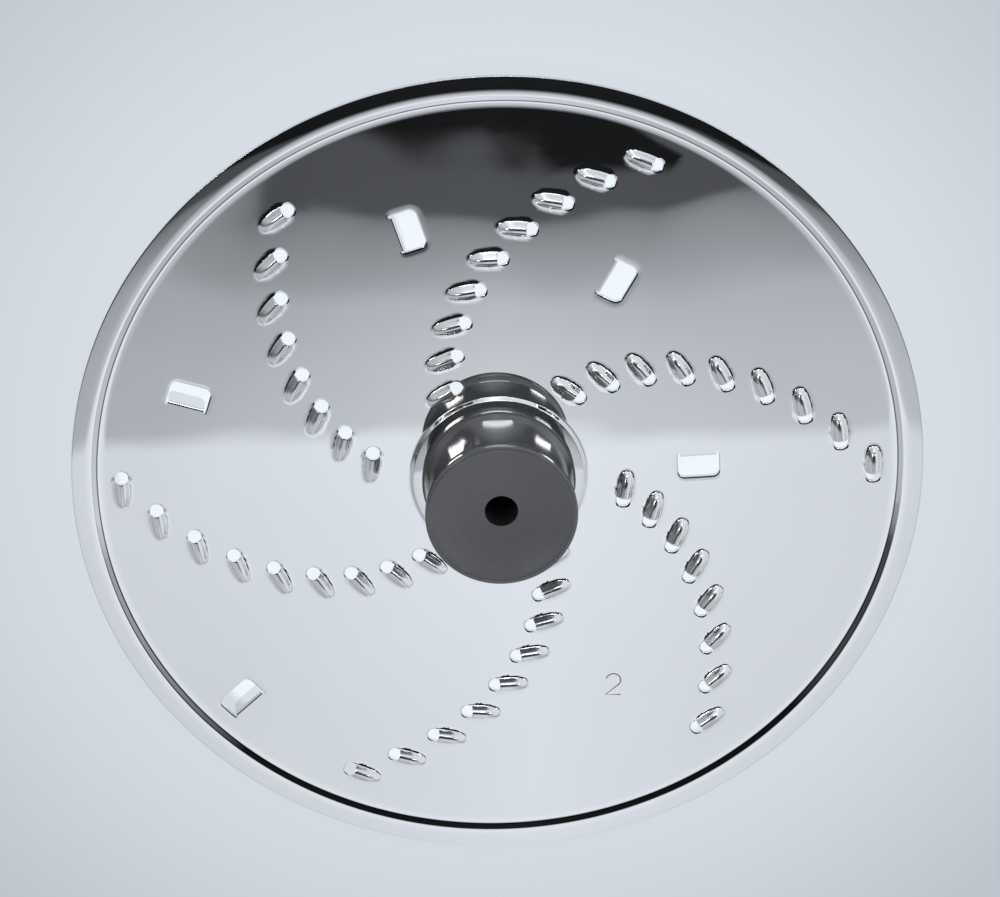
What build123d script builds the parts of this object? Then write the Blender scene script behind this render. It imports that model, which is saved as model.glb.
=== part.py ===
from build123d import *

import os
from math import atan2, cos, degrees, pi, radians, sin, tan

os.makedirs("parts", exist_ok=True)

# Grating disc for a food processor, lying on its drive boss with the knob up.
# Z is the axis that the disc turns about, and z = 0 is the foot of the boss.
# Sizes are millimetres. Angles are degrees, anticlockwise as seen from above.

# Pressed plate
plate_diameter = 175.0
sheet = 1.0
field_height = 11.0
flange_width = 4.1
rim_step_width = 1.7
rim_rise = 0.65
collar_diameter = 36.2
collar_rise = 0.8
collar_slope = 0.5
plate_bore = 25.0

# Grating teeth: half bullets with their mouths clockwise, each over a round hole.
# A nose gives shares of the reach behind the hole, and of the width and height there.
tooth_hole = 2.8
tooth_wall = 0.4
tooth_height = 1.5
tooth_reach = 6.65
tooth_nose = ((0.54, 1), (0.81, 0.75), (1, 0.25))
throat_nose = ((0.56, 1), (1, 0.35))
arch_flats = 5
mouth_setback = 0.95
mouth_lean = 16.0

# Tooth rows: each row steps outwards and clockwise, and every third row repeats
row_count = 6
row_start_angle = 103.0
row_start_radius = 28.6
tooth_step = 6.64
tooth_turn = 6.0
first_teeth = (-1, 0, 0)
last_teeth = (7, 7, 8)

# Sweeping tabs: lanced windows, each with its flap bent square below the plate
window_length = 8.4
window_width = 5.4
window_round = 1.4
tab_width = 7.2
tab_length = 5.4
tab_round = 1.3
bend_radius = 0.6
relief_depth = 0.5
tab_start_radius = 41.2
tab_step = 8.2
tab_angles = (-1.4, 56.8, 104.0, 158.9, 218.8)

# Moulded hub: knob above the plate, neck through it and drive boss below it
knob_diameter = 31.0
knob_height = 18.4
rim_round = 1.7
rim_flats = 3
rim_bevel = 1.4
rim_drop = 0.8
dish_depth = 2.3
bead_diameter = 31.6
bead_height = 1.6
bead_bevel = 0.4
neck_fit = 0.1
clamp_diameter = 33.6
clamp_thickness = 2.4
boss_diameter = 29.0
boss_bevel = 0.6
top_bore = 6.7
socket_diameter = 16.0
socket_depth = 19.0
socket_bevel = 0.8
keyway_width = 5.0
keyway_span = 22.0
keyway_depth = 8.0

# Levels and radii worked out from the sizes above
plate_radius = plate_diameter / 2
flange_start = plate_radius - flange_width
rim_start = flange_start - rim_step_width
field_bottom = field_height - sheet
flange_top = field_height + rim_rise
flange_bottom = field_bottom + rim_rise
collar_edge = collar_diameter / 2
land_edge = collar_edge - collar_slope
land_top = field_height + collar_rise
land_bottom = field_bottom + collar_rise

# The underside of the rim step is set in, so that the sheet keeps its thickness there
rim_slope = degrees(atan2(rim_rise, rim_step_width))
rim_shift = sheet * tan(radians(rim_slope / 2))

# Tooth form: X runs along the tooth to its mouth, and the hole is at the origin
hole_radius = tooth_hole / 2
tooth_half_width = hole_radius + tooth_wall
throat_height = tooth_height - tooth_wall
throat_reach = tooth_reach - 2 * tooth_wall
tooth_middle = (tooth_reach - hole_radius) / 2
mouth_crown = mouth_setback + tooth_height * tan(radians(mouth_lean))
cut_depth = 2 * sheet


def arch(half_width, height):
    """Points of a flat-sided arch from its right foot to its left foot."""
    turns = [pi * flat / arch_flats for flat in range(arch_flats + 1)]
    return [(half_width * cos(turn), height * sin(turn)) for turn in turns]


def taper(nose, reach, full):
    """Points along a tooth's back or side, from its full section to its tail."""
    return [(-share * reach, scale * full) for share, scale in nose]


# A tooth is what its section, its side view and its plan have in common
with BuildPart() as tooth_dome:
    with BuildSketch(Plane.YZ):
        with BuildLine():
            Polyline(*arch(tooth_half_width, tooth_height), close=True)
        make_face()
    extrude(amount=-tooth_reach)
    with BuildSketch(Plane.XZ):
        with BuildLine():
            mouth = Line((-mouth_setback, 0), (-mouth_crown, tooth_height))
            back = Polyline(mouth @ 1, *taper(tooth_nose, tooth_reach, tooth_height))
            Polyline(back @ 1, (-tooth_reach, 0), mouth @ 0)
        make_face()
    extrude(amount=tooth_half_width, both=True, mode=Mode.INTERSECT)
    with BuildSketch(Plane.XY):
        with BuildLine():
            flank = Polyline((0, tooth_half_width), *taper(tooth_nose, tooth_reach, tooth_half_width))
            far_flank = mirror(flank, about=Plane.XZ)
            Line(flank @ 0, far_flank @ 0)
            Line(flank @ 1, far_flank @ 1)
        make_face()
    extrude(amount=tooth_height, mode=Mode.INTERSECT)

# The throat is cut out in the same way, down through the sheet and out at the hole
with BuildPart() as tooth_throat:
    with BuildSketch(Plane.YZ):
        with BuildLine():
            roof = Polyline(*arch(hole_radius, throat_height))
            Polyline(roof @ 1, (-hole_radius, -cut_depth), (hole_radius, -cut_depth), roof @ 0)
        make_face()
    extrude(amount=-throat_reach)
    with BuildSketch(Plane.XZ):
        with BuildLine():
            front = Line((0, -cut_depth), (0, throat_height))
            back = Polyline(front @ 1, *taper(throat_nose, throat_reach, throat_height))
            Polyline(back @ 1, (-throat_reach, -cut_depth), front @ 0)
        make_face()
    extrude(amount=hole_radius, both=True, mode=Mode.INTERSECT)
    with BuildSketch(Plane.XY.offset(-cut_depth)):
        with BuildLine():
            flank = Polyline((0, hole_radius), *taper(throat_nose, throat_reach, hole_radius))
            far_flank = mirror(flank, about=Plane.XZ)
            Line(flank @ 0, far_flank @ 0)
            Line(flank @ 1, far_flank @ 1)
        make_face()
    extrude(amount=cut_depth + throat_height, mode=Mode.INTERSECT)
    with BuildSketch(Plane.XY.offset(-cut_depth)):
        with BuildLine():
            Polyline(*[(ahead, aside) for aside, ahead in arch(hole_radius, hole_radius)], close=True)
        make_face()
    extrude(amount=cut_depth)

# Each tooth stands square to the radius through its own middle
tooth_places = []
for row in range(row_count):
    phase = row % len(first_teeth)
    for step in range(first_teeth[phase], last_teeth[phase] + 1):
        radius = row_start_radius + tooth_step * (step - phase / len(first_teeth))
        angle = row_start_angle + 360 / row_count * row - tooth_turn * step
        lean = degrees(atan2(tooth_middle, radius))
        centre = (radius * cos(radians(angle)), radius * sin(radians(angle)), field_height)
        tooth_places.append(Location(centre, (0, 0, angle + lean - 90)))

# Tab form: X runs clockwise from the bend to the free edge of the window
hinge = -window_width / 2
tab_leg = tab_length - (bend_radius + sheet / 2) * pi / 2
relief_width = (window_length - tab_width) / 2
relief_offset = (window_length + tab_width) / 4

with BuildPart() as tab_window:
    with BuildSketch(Plane.XY.offset(-cut_depth)) as window_outline:
        Rectangle(window_width, window_length)
        fillet(window_outline.vertices().group_by(Axis.X)[-1], window_round)
        with Locations((hinge, relief_offset), (hinge, -relief_offset)):
            Rectangle(2 * relief_depth, relief_width)
    extrude(amount=2 * cut_depth)

with BuildPart() as tab_flap:
    with BuildSketch(Plane.XZ):
        with BuildLine():
            outside = JernArc((hinge, 0), (1, 0), bend_radius + sheet, -90)
            face = Line(outside @ 1, outside @ 1 - (0, tab_leg))
            inside = JernArc((hinge, -sheet), (1, 0), bend_radius, -90)
            rear = Line(inside @ 1, inside @ 1 - (0, tab_leg))
            Line(outside @ 0, inside @ 0)
            Line(face @ 1, rear @ 1)
        make_face()
    extrude(amount=tab_width / 2, both=True)
    fillet(tab_flap.edges().filter_by(Axis.X).group_by(Axis.Z)[0], tab_round)

tab_places = []
for step, angle in enumerate(tab_angles):
    radius = tab_start_radius + tab_step * step
    centre = (radius * cos(radians(angle)), radius * sin(radians(angle)), field_height)
    tab_places.append(Location(centre, (0, 0, angle - 90)))

# Grating plate: one sheet with its collar, field, rim step, teeth and tabs
with BuildPart() as grating_plate:
    with BuildSketch(Plane.XZ):
        with BuildLine():
            land = Line((plate_bore / 2, land_top), (land_edge, land_top))
            rise = Line(land @ 1, (collar_edge, field_height))
            field = Line(rise @ 1, (rim_start, field_height))
            step = Line(field @ 1, (flange_start, flange_top))
            flange = Line(step @ 1, (plate_radius, flange_top))
            edge = Line(flange @ 1, (plate_radius, flange_bottom))
            under_flange = Line(edge @ 1, (flange_start + rim_shift, flange_bottom))
            under_step = Line(under_flange @ 1, (rim_start + rim_shift, field_bottom))
            under_field = Line(under_step @ 1, (collar_edge, field_bottom))
            under_rise = Line(under_field @ 1, (land_edge, land_bottom))
            under_land = Line(under_rise @ 1, (plate_bore / 2, land_bottom))
            Line(under_land @ 1, land @ 0)
        make_face()
    revolve(axis=Axis.Z)
    with Locations(*tooth_places):
        add(tooth_dome.part)
    with Locations(*tooth_places):
        add(tooth_throat.part, mode=Mode.SUBTRACT)
    with Locations(*tab_places):
        add(tab_window.part, mode=Mode.SUBTRACT)
    with Locations(*tab_places):
        add(tab_flap.part)

grating_plate.part.label = "grating_plate"
export_step(grating_plate.part, "parts/grating_plate.step")

# Hub levels and radii
knob_radius = knob_diameter / 2
knob_top = field_height + knob_height
crest_radius = knob_radius - rim_round
bead_radius = bead_diameter / 2
bead_top = land_top + bead_height
neck_radius = plate_bore / 2 - neck_fit
clamp_radius = clamp_diameter / 2
clamp_bottom = land_bottom - clamp_thickness
boss_radius = boss_diameter / 2
socket_radius = socket_diameter / 2
rim_base = knob_top - rim_round
rim_turns = [radians(90 * flat / rim_flats) for flat in range(rim_flats + 1)]
rim_points = [(crest_radius + rim_round * cos(turn), rim_base + rim_round * sin(turn)) for turn in rim_turns]

# Hub: one moulding turned about Z, with its drive socket cored out from below
with BuildPart() as hub:
    with BuildSketch(Plane.XZ):
        with BuildLine():
            crest = (crest_radius, knob_top)
            bevel = Line(crest, (crest_radius - rim_bevel, knob_top - rim_drop))
            dish = Line(bevel @ 1, (top_bore / 2, knob_top - dish_depth))
            bore = Line(dish @ 1, (top_bore / 2, socket_depth))
            roof = Line(bore @ 1, (socket_radius, socket_depth))
            socket = Line(roof @ 1, (socket_radius, socket_bevel))
            lead_in = Line(socket @ 1, (socket_radius + socket_bevel, 0))
            foot = Line(lead_in @ 1, (boss_radius - boss_bevel, 0))
            foot_edge = Line(foot @ 1, (boss_radius, boss_bevel))
            boss = Line(foot_edge @ 1, (boss_radius, clamp_bottom))
            ledge = Line(boss @ 1, (clamp_radius, clamp_bottom))
            clamp = Line(ledge @ 1, (clamp_radius, land_bottom))
            grip = Line(clamp @ 1, (neck_radius, land_bottom))
            neck = Line(grip @ 1, (neck_radius, land_top))
            seat = Line(neck @ 1, (bead_radius, land_top))
            bead = Line(seat @ 1, (bead_radius, bead_top - bead_bevel))
            shoulder = Line(bead @ 1, (knob_radius, bead_top))
            Polyline(shoulder @ 1, *rim_points)
        make_face()
    revolve(axis=Axis.Z)
    with BuildSketch(Plane.XY):
        Rectangle(keyway_span, keyway_width)
    extrude(amount=keyway_depth, mode=Mode.SUBTRACT)

hub.part.label = "hub"
export_step(hub.part, "parts/hub.step")
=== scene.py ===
"""Looks of a food processor's grating disc, lying on its drive boss with the knob up."""

from math import atan2, ceil, cos, dist, hypot, pi, radians, sin, sqrt, tan

import bmesh
import bpy
import numpy as np
from bpy.props import FloatProperty, FloatVectorProperty, IntProperty, PointerProperty
from mathutils import Matrix, Vector
from mathutils.geometry import delaunay_2d_cdt


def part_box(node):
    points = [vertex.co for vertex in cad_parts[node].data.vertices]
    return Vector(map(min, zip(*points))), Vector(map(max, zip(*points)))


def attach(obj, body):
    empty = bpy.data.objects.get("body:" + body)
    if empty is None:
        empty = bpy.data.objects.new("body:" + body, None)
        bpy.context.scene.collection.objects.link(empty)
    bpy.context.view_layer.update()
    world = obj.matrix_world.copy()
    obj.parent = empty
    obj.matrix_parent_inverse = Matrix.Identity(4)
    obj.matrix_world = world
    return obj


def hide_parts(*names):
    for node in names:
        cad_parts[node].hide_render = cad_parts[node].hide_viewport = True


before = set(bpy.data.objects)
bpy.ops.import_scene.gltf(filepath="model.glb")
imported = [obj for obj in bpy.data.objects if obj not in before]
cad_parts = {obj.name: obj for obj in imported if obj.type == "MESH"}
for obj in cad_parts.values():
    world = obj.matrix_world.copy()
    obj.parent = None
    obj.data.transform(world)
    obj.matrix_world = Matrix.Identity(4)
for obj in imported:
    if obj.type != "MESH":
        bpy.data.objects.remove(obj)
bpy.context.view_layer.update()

bl_info = {
    "name": "Grating disc",
    "version": (1, 0, 0),
    "blender": (4, 5, 0),
    "location": "View3D > Sidebar > Disc",
    "description": "Builds the pressed plate, the moulded hub and the stage of a grating disc",
    "category": "Object",
}

MM = 0.001
ROOT = "root"
PLATE_NODE = "grating_plate"
HUB_NODE = "hub"
IMAGE_WIDTH = 1000
SENSOR_WIDTH = 36.0
MERGE_DISTANCE = 0.002 * MM
SHARP_ANGLE = radians(42)
# Tolerance of the field's flat triangles, and the triangulation that keeps to the edges given
FLAT_TOLERANCE = 1e-9
INSIDE_EDGES = 1
# Share of a side that a rounded corner may take up
CORNER_REACH = 0.49
# How far in and down the middle of a small rounding lies, as a share of its radius
ROUND_MIDDLE = 0.29

PLATE_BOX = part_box(PLATE_NODE)
PLATE_RADIUS = min(abs(side) for end in PLATE_BOX for side in end[:2])
HUB_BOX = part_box(HUB_NODE)


# Properties

def named(group):
    """Makes the properties of a group, each named after its attribute."""
    for attribute, make in group.__annotations__.items():
        group.__annotations__[attribute] = make(attribute.replace("_", " ").capitalize())
    return group


def length(description, millimetres):
    """A size that a user can change, written here in millimetres."""
    return lambda name: FloatProperty(name=name, description=description, default=millimetres * MM,
                                      precision=5, unit="LENGTH", subtype="DISTANCE")


def turn(description, degrees):
    """An angle that a user can change, written here in degrees."""
    return lambda name: FloatProperty(name=name, description=description, default=radians(degrees),
                                      unit="ROTATION", subtype="ANGLE")


def share(description, value):
    """A plain number that a user can change."""
    return lambda name: FloatProperty(name=name, description=description, default=value)


def number(description, value, least=24):
    """A number of copies or facets that a user can change."""
    return lambda name: IntProperty(name=name, description=description, default=value, min=least)


def colour(description, value):
    """A colour that a user can change, in linear light."""
    return lambda name: FloatVectorProperty(name=name, description=description, default=value, size=3,
                                            min=0.0, max=1.0, subtype="COLOR")


@named
class DiscPlateSizes(bpy.types.PropertyGroup):
    """Sizes of the pressed sheet round its teeth and tabs."""

    sheet: length("Thickness of the steel sheet", 1.0)
    field_height: length("Height of the field over the boss's foot", 11.0)
    flange_width: length("Width of the flat flange", 2.5)
    apron_width: length("Width of the faint slopes beside the rim step", 1.7)
    apron_rise: length("Rise of the faint slopes beside the rim step", 0.045)
    step_width: length("Width of the rim step between its bends", 1.0)
    step_rise: length("How far the flange stands over the field", 0.48)
    step_round: length("Radius of the bends of the rim step", 0.9)
    edge_round: length("Rounding of the cut outer edge", 0.1)
    collar_radius: length("Radius at the foot of the raised collar", 18.1)
    collar_rise: length("How far the collar stands over the field", 0.8)
    collar_slope: length("Width of the collar's slanted edge", 0.5)
    collar_round: length("Rounding of the collar's top and foot", 0.3)
    bore_radius: length("Radius of the plate's middle hole", 12.5)
    margin: length("Plain strip between the field and the collar", 0.5)
    rim_steps: number("Facets round the rim", 240)
    collar_steps: number("Facets round the collar", 144)


@named
class DiscToothSizes(bpy.types.PropertyGroup):
    """Sizes of one grating tooth and the pattern of the rows."""

    hole_radius: length("Radius of the round front of the hole", 1.4)
    height: length("Height of the tooth's crown over the field", 1.42)
    reach: length("From the hole's middle to the tip of the tail", 6.6)
    nose: length("Length of the round end of the tail, seen from above", 3.2)
    slant: length("Length over which the crown falls to the tail", 3.6)
    crown_radius: length("Radius of the arch at its crown", 1.25)
    foot_radius: length("Radius of the hollow at the arch's foot", 0.25)
    wall: length("Thickness of the drawn metal", 0.45)
    flank: turn("Slope of the sides of the arch", 64)
    skirt: length("Width of the faint slope round the tooth", 0.6)
    skirt_slope: turn("Steepest part of the slope round the tooth", 4)
    setback: length("From the hole's middle to the mouth's foot", 0.7)
    lean: length("How far the mouth's crown lies behind its foot", 0.15)
    lip_half_width: length("Half the width of the mouth between its feet", 1.5)
    lip_round: length("Rounding of the mouth's edge", 0.06)
    hole_round: length("Rounding of the hole's front edge", 0.12)
    strip_half: length("Half the width of the fine strip round a tooth", 2.85)
    strip_tail: length("From the hole's middle to the strip's end", 8.0)
    rows: number("Number of spiral rows", 6, 1)
    row_angle: turn("Angle of the first row's base tooth", 103)
    row_radius: length("Radius of the first row's base tooth", 28.6)
    step: length("Outward step from tooth to tooth", 6.64)
    twist: turn("Clockwise turn from tooth to tooth", 6)


@named
class DiscTabSizes(bpy.types.PropertyGroup):
    """Sizes of one lanced window and its bent flap."""

    window_length: length("Length of the window along the radius", 8.4)
    window_width: length("Width of the window across the radius", 5.4)
    window_round: length("Radius of the window's free corners", 1.4)
    relief: length("Depth of the small slits beside the bend", 0.3)
    flap_width: length("Width of the flap along the radius", 7.5)
    hinge_inset: length("From the window's edge to the bend", 0.3)
    flap_depth: length("How far the flap reaches below the field", 5.28)
    flap_round: length("Radius of the flap's free corners", 1.3)
    bend_radius: length("Outside radius of the bend", 0.6)
    crease: length("Inside radius of the bend", 0.05)
    edge_round: length("Rounding of the punched edge", 0.12)
    roll: length("How far the punched edge is drawn down", 0.01)
    roll_width: length("Width of the drawn-down edge", 1.6)
    margin: length("Width of the fine strip round the window", 1.8)
    start_radius: length("Radius of the innermost window", 41.2)
    step: length("Outward step from window to window", 8.2)


@named
class DiscHubSizes(bpy.types.PropertyGroup):
    """Sizes of the moulded hub."""

    waist_radius: length("Radius of the knob's narrowest place", 14.95)
    waist_height: length("Height of the narrowest place over the field", 12.0)
    hollow_radius: length("Radius of the hollow side, seen in section", 86.0)
    rim_radius: length("Radius of the knob's rim", 15.45)
    rim_height: length("Height of the rim over the hollow side", 3.0)
    rim_round: length("Rounding of the knob's rim", 0.95)
    dish_depth: length("Depth of the dished top at the bore", 2.4)
    bore_radius: length("Radius of the hole through the knob", 3.35)
    bore_round: length("Rounding of the hole's edge", 0.12)
    bead_radius: length("Radius of the bead on the plate", 15.75)
    bead_height: length("Height of the bead over the collar", 1.6)
    bead_round: length("Rounding of the bead's edge", 0.6)
    neck_radius: length("Radius of the neck through the plate", 12.4)
    clamp_radius: length("Radius of the flange under the plate", 16.8)
    clamp_thickness: length("Thickness of the flange under the plate", 2.4)
    boss_radius: length("Radius of the drive boss", 14.5)
    edge_round: length("Rounding of the edges under the plate", 0.6)
    socket_radius: length("Radius of the drive socket", 8.0)
    socket_depth: length("Depth of the drive socket", 19.0)
    socket_bevel: length("Lead-in at the mouth of the socket", 0.8)
    keyway_width: length("Width of the keyways", 5.0)
    keyway_span: length("Distance across both keyways", 22.0)
    keyway_depth: length("Depth of the keyways", 8.0)
    steps: number("Facets round the hub", 160)


@named
class DiscMarkSizes(bpy.types.PropertyGroup):
    """Sizes and place of the small plain digit etched on the plate."""

    radius: length("Distance of the digit from the middle of the plate", 54.5)
    angle: turn("Direction of the digit from the middle of the plate", -68.0)
    tilt: turn("Turn of the digit on the plate", -4.8)
    height: length("Height of the digit", 5.0)
    width: length("Width of the digit", 3.3)
    stroke: length("Width of the etched line", 0.25)
    thickness: length("How far the etched line stands over the steel", 0.004)


@named
class DiscFinish(bpy.types.PropertyGroup):
    """Colours and gloss of the finishes, and the painted shade in the rim's crease."""

    steel: colour("Polished steel", (0.80, 0.80, 0.80))
    steel_shade: colour("Darker patches of the polished steel", (0.76, 0.765, 0.77))
    plastic: colour("Glossy dark grey side of the moulding", (0.100, 0.100, 0.101))
    plastic_top: colour("Matt grained top of the moulding", (0.135, 0.134, 0.137))
    plastic_shade: colour("Deep shade inside the bore", (0.004, 0.004, 0.004))
    # Dark grey of the etched digit, also used for the painted shade in the rim's crease
    etch: colour("Etched digit", (0.12, 0.12, 0.125))
    # Share of painted shade in the rim's crease
    grime: share("Share of dark grime in the rim's crease", 0.85)
    dullness: share("Roughness of the drawn metal of the teeth", 0.2)


@named
class DiscStage(bpy.types.PropertyGroup):
    """Floor, light and camera."""

    floor: colour("Pale floor", (0.74, 0.785, 0.84))
    floor_glow: share("Share of the floor's colour shown unlit", 0.8)
    # Painted pool of light: the floor's glow is made stronger under the disc
    painted_light_under_disc: share("Strength of the floor's own colour under the disc", 1.36)
    floor_fade: share("Share of the floor's light left far away", 0.72)
    fade_start: length("Distance where the floor starts to fade", 90)
    fade_end: length("Distance where the floor has faded", 150)
    camera_tilt: turn("Tilt of the view from straight above", 25.355)
    camera_roll: turn("Roll of the view", 4.763)
    camera_distance: length("Distance of the camera from the field", 846.4)
    aim_right: length("How far the view is aimed to the right of the middle", 0.284)
    aim_up: length("How far the view is aimed over the middle", 5.831)
    focal_pixels: share("Focal length of the view in pixels", 4119.7)


# Mesh helpers

class Shell:
    """Collects points and faces, and makes one closed mesh of them."""

    def __init__(self):
        self.points = []
        self.faces = []
        self.count = 0

    def add(self, points, faces):
        self.points.append(np.asarray(points, dtype=float))
        self.faces += [tuple(self.count + corner for corner in face) for face in faces]
        self.count += len(points)

    def add_rings(self, rings):
        """Adds a closed band from the points across it at each place, and returns its first loop."""
        points = [ring[level] for level in range(len(rings[0])) for ring in rings]
        self.add(points, strips(len(rings[0]), len(rings), closed=True))
        return points[:len(rings)]

    def mesh(self, name):
        mesh = bpy.data.meshes.new(name)
        mesh.from_pydata(np.concatenate(self.points).tolist(), [], self.faces)
        close_mesh(mesh)
        return mesh


def close_mesh(mesh):
    """Joins coincident points, turns all faces outwards and marks the hard edges."""
    bm = bmesh.new()
    bm.from_mesh(mesh)
    bmesh.ops.remove_doubles(bm, verts=bm.verts, dist=MERGE_DISTANCE)
    bmesh.ops.dissolve_degenerate(bm, edges=bm.edges, dist=MERGE_DISTANCE / 4)
    bmesh.ops.recalc_face_normals(bm, faces=bm.faces)
    open_edges = [edge for edge in bm.edges if not edge.is_manifold]
    if open_edges:
        raise ValueError(f"{mesh.name} has {len(open_edges)} open edges")
    bm.to_mesh(mesh)
    bm.free()
    mesh.polygons.foreach_set("use_smooth", [True] * len(mesh.polygons))
    mesh.set_sharp_from_angle(angle=SHARP_ANGLE)


def strips(rows, columns, closed=False):
    """Faces between rows of equally many points."""
    last = columns if closed else columns - 1
    faces = []
    for row in range(rows - 1):
        for column in range(last):
            beside = (column + 1) % columns
            low = row * columns
            high = low + columns
            faces.append((low + column, low + beside, high + beside, high + column))
    return faces


def lathe(profile, steps, closed=False):
    """Points and faces of a profile of radii and heights turned about Z."""
    turns = [2 * pi * step / steps for step in range(steps)]
    points = [(*on_circle(radius, angle), height) for radius, height in profile for angle in turns]
    faces = strips(len(profile), steps, closed=True)
    if closed:
        last = (len(profile) - 1) * steps
        for step in range(steps):
            beside = (step + 1) % steps
            faces.append((last + step, last + beside, beside, step))
    return points, faces


def corner(before, point, after, radius, steps=5):
    """Points of the round that replaces a corner of a profile."""
    point = Vector(point)
    start = Vector(before) - point
    end = Vector(after) - point
    half = start.angle(end) / 2
    reach = min(radius / tan(half), CORNER_REACH * start.length, CORNER_REACH * end.length)
    start = point + start.normalized() * reach
    end = point + end.normalized() * reach
    shares = [step / steps for step in range(steps + 1)]
    return [tuple(start * (1 - t) ** 2 + point * (2 * t * (1 - t)) + end * t ** 2) for t in shares]


def rounded(outline, closed=False):
    """A profile given as (across, up, radius) with its corners rounded."""
    places = [(across, up) for across, up, _ in outline]
    result = []
    for index, (across, up, radius) in enumerate(outline):
        at_end = not closed and index in (0, len(outline) - 1)
        if radius <= 0 or at_end:
            result.append((across, up))
        else:
            result += corner(places[index - 1], places[index], places[(index + 1) % len(places)], radius)
    return result


def smooth_step(value):
    """Rises from 0 to 1 with level ends."""
    value = min(max(value, 0.0), 1.0)
    return value * value * (3 - 2 * value)


def on_circle(radius, angle):
    """Place on a circle round the middle."""
    return radius * cos(angle), radius * sin(angle)


def between(start, end, part):
    """Place at a share of the way from a start to an end."""
    return start[0] + (end[0] - start[0]) * part, start[1] + (end[1] - start[1]) * part


def edge_steps(edge, across, shares):
    """Distances from a cut edge: over its rounding, then by shares of the rest of the way."""
    return [0.0, ROUND_MIDDLE * edge, edge] + [edge + (across - edge) * part for part in shares]


def edge_drops(depth, steps):
    """Depths of the points over an edge's rounding, and none beyond it."""
    return [depth, ROUND_MIDDLE * depth] + [0.0] * (len(steps) - 2)


def placed(points, place):
    """Points moved to a place given as x, y, height and turn."""
    across, along, height, angle = place
    points = np.asarray(points, dtype=float)
    moved = np.empty_like(points)
    moved[:, 0] = across + points[:, 0] * cos(angle) - points[:, 1] * sin(angle)
    moved[:, 1] = along + points[:, 0] * sin(angle) + points[:, 1] * cos(angle)
    moved[:, 2] = height + points[:, 2]
    return moved


# Teeth: the rows' first and last steps, which repeat in threes, and how finely each face is divided

ROW_FIRST = (-1, 0, 0)
ROW_LAST = (7, 7, 8)
SIDE_SHARES = (0.0, 0.14, 0.28, 0.394, 0.49, 0.5625, 0.68, 0.88, 1.0)
BOTH_SIDES = tuple(-part for part in reversed(SIDE_SHARES)) + SIDE_SHARES[1:]
TOP_SHARES = (0.16, 0.36, 0.58, 0.8, 1.0)
UNDER_SHARES = (0.0, 0.08, 0.5, 1.0)
REAR_SHARES = (0.0, 0.1, 0.2, 0.3, 0.4, 0.48, 0.55, 0.61, 0.66, 0.7, 0.73, 0.77, 0.83, 0.89, 0.94, 1.0)
FOOT_STEPS = 240
FOOT_NEAREST = 0.05
NARROWEST = 0.01
UNDER_FOOT = 0.7


def tooth_places(teeth, height):
    """Where each tooth stands, square to the radius through its own middle."""
    middle = (teeth.reach - teeth.hole_radius) / 2
    places = []
    for row in range(teeth.rows):
        phase = row % len(ROW_FIRST)
        for step in range(ROW_FIRST[phase], ROW_LAST[phase] + 1):
            radius = teeth.row_radius + teeth.step * (step - phase / len(ROW_FIRST))
            angle = teeth.row_angle + 2 * pi / teeth.rows * row - teeth.twist * step
            lean = atan2(middle, radius)
            places.append((*on_circle(radius, angle), height, angle + lean - pi / 2))
    return places


class Arch:
    """Section of a tooth: a round crown, straight flanks and hollow feet."""

    def __init__(self, teeth, height, crown_radius, foot_radius, foot_slope, reach):
        self.height = height
        self.crown_radius = crown_radius
        self.foot_radius = foot_radius
        self.foot_slope = foot_slope
        self.reach = reach
        self.flank = teeth.flank
        self.nose = teeth.nose
        self.slant = teeth.slant
        self.crown_edge = crown_radius * sin(self.flank)
        self.crown_drop = height - crown_radius * (1 - cos(self.flank))
        foot_rise = foot_radius * (cos(foot_slope) - cos(self.flank))
        self.flank_edge = self.crown_edge + (self.crown_drop - foot_rise) / tan(self.flank)
        self.half_width = self.flank_edge + foot_radius * (sin(self.flank) - sin(foot_slope))
        along = np.linspace(-reach, reach, FOOT_STEPS)
        self.foot = np.array([(x, self.half_width * self.left(x, self.nose)) for x in along])

    def section(self, aside):
        """Height at a distance from the middle of the full section."""
        if aside <= self.crown_edge:
            return self.height - self.crown_radius + sqrt(self.crown_radius ** 2 - aside ** 2)
        if aside <= self.flank_edge:
            return self.crown_drop - (aside - self.crown_edge) * tan(self.flank)
        if aside < self.half_width:
            run = self.half_width - aside + self.foot_radius * sin(self.foot_slope)
            return self.foot_radius * cos(self.foot_slope) - sqrt(self.foot_radius ** 2 - run ** 2)
        return 0.0

    def left(self, x, closing):
        """Share of a size that is left towards the tail, where it closes over a given length."""
        into = (-x - (self.reach - closing)) / closing
        if into <= 0:
            return 1.0
        return sqrt(max(1 - into * into, 0.0))

    def rise(self, x, y):
        """Height at a place seen from above."""
        width = self.left(x, self.nose)
        if width < NARROWEST:
            return 0.0
        return self.left(x, self.slant) * self.section(abs(y) / width)

    def outside(self, x, y):
        """Distance of a place from the foot of the arch, 0 inside it."""
        if abs(y) <= self.half_width * self.left(x, self.nose) and -x <= self.reach:
            return 0.0
        return float(np.min(np.hypot(self.foot[:, 0] - x, self.foot[:, 1] - abs(y))))


def skirt_rise(teeth):
    """How far the slope round a tooth lifts the tooth's foot."""
    return tan(teeth.skirt_slope) * teeth.skirt / 2


def mouth_fade(x, teeth):
    """Share of the tooth's height that is left in front of its mouth."""
    return smooth_step((teeth.skirt - x) / (teeth.skirt + teeth.setback))


def tooth_height(x, y, arch, teeth):
    """Height of a tooth's upper face, with the slope drawn up round it."""
    left = max(1 - arch.outside(x, y) / teeth.skirt, 0.0)
    return mouth_fade(x, teeth) * (skirt_rise(teeth) * left * left + arch.rise(x, y))


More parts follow.
